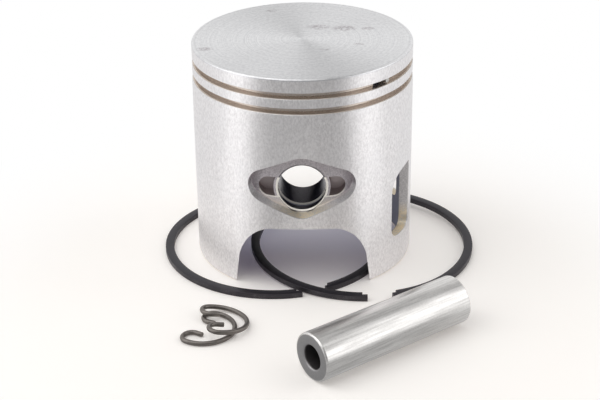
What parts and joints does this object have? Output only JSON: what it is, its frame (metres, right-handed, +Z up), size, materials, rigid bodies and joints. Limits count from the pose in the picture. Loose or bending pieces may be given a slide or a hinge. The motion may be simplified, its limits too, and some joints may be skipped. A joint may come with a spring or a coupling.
{
  "type": "two-stroke piston set",
  "caption": "Flat-topped two-stroke piston standing on its skirt, with its piston rings, hollow wrist pin and wire circlips laid out loose around it.",
  "frame": {"origin": "middle of the laid-out set's footprint, on the surface it lies on", "axes": "+Z up along the piston's axis, +Y along the piston's pin bore and away from the loose pin, +X towards the skirt's port windows"},
  "size_m": [0.068, 0.0848, 0.048],
  "materials": {
    "piston_alloy": "satin, fine turned marks on the crown and skirt, sand-cast grain in the pockets",
    "peg_steel": "plain drawn steel",
    "ring_iron": "dark phosphate coat with a soft sheen",
    "pin_steel": "ground and polished outside, matte at the ends",
    "clip_wire": "brownish grey spring wire"
  },
  "bodies": {
    "piston": {"piston_body": "piston_alloy", "upper_ring_peg": "peg_steel", "lower_ring_peg": "peg_steel"},
    "lower_ring": {"piston_ring_1": "ring_iron"},
    "upper_ring": {"piston_ring_2": "ring_iron"},
    "pin": {"wrist_pin": "pin_steel"},
    "lower_clip": {"circlip_1": "clip_wire"},
    "upper_clip": {"circlip_2": "clip_wire"}
  },
  "joints": [
    {"name": "lower_ring_lift", "type": "slide", "parent": "piston", "child": "lower_ring", "axis": [0, 0, 1], "range_m": [0, 0.0015]},
    {"name": "upper_ring_lift", "type": "slide", "parent": "lower_ring", "child": "upper_ring", "axis": [0, 0, 1], "range_m": [0, 0.002]},
    {"name": "pin_lift", "type": "slide", "parent": "piston", "child": "pin", "axis": [0, 0, 1], "range_m": [0, 0.06]},
    {"name": "lower_clip_lift", "type": "slide", "parent": "piston", "child": "lower_clip", "axis": [0, 0, 1], "range_m": [0, 0.06]},
    {"name": "upper_clip_lift", "type": "slide", "parent": "lower_clip", "child": "upper_clip", "axis": [0, 0, 1], "range_m": [0, 0.06]}
  ]
}
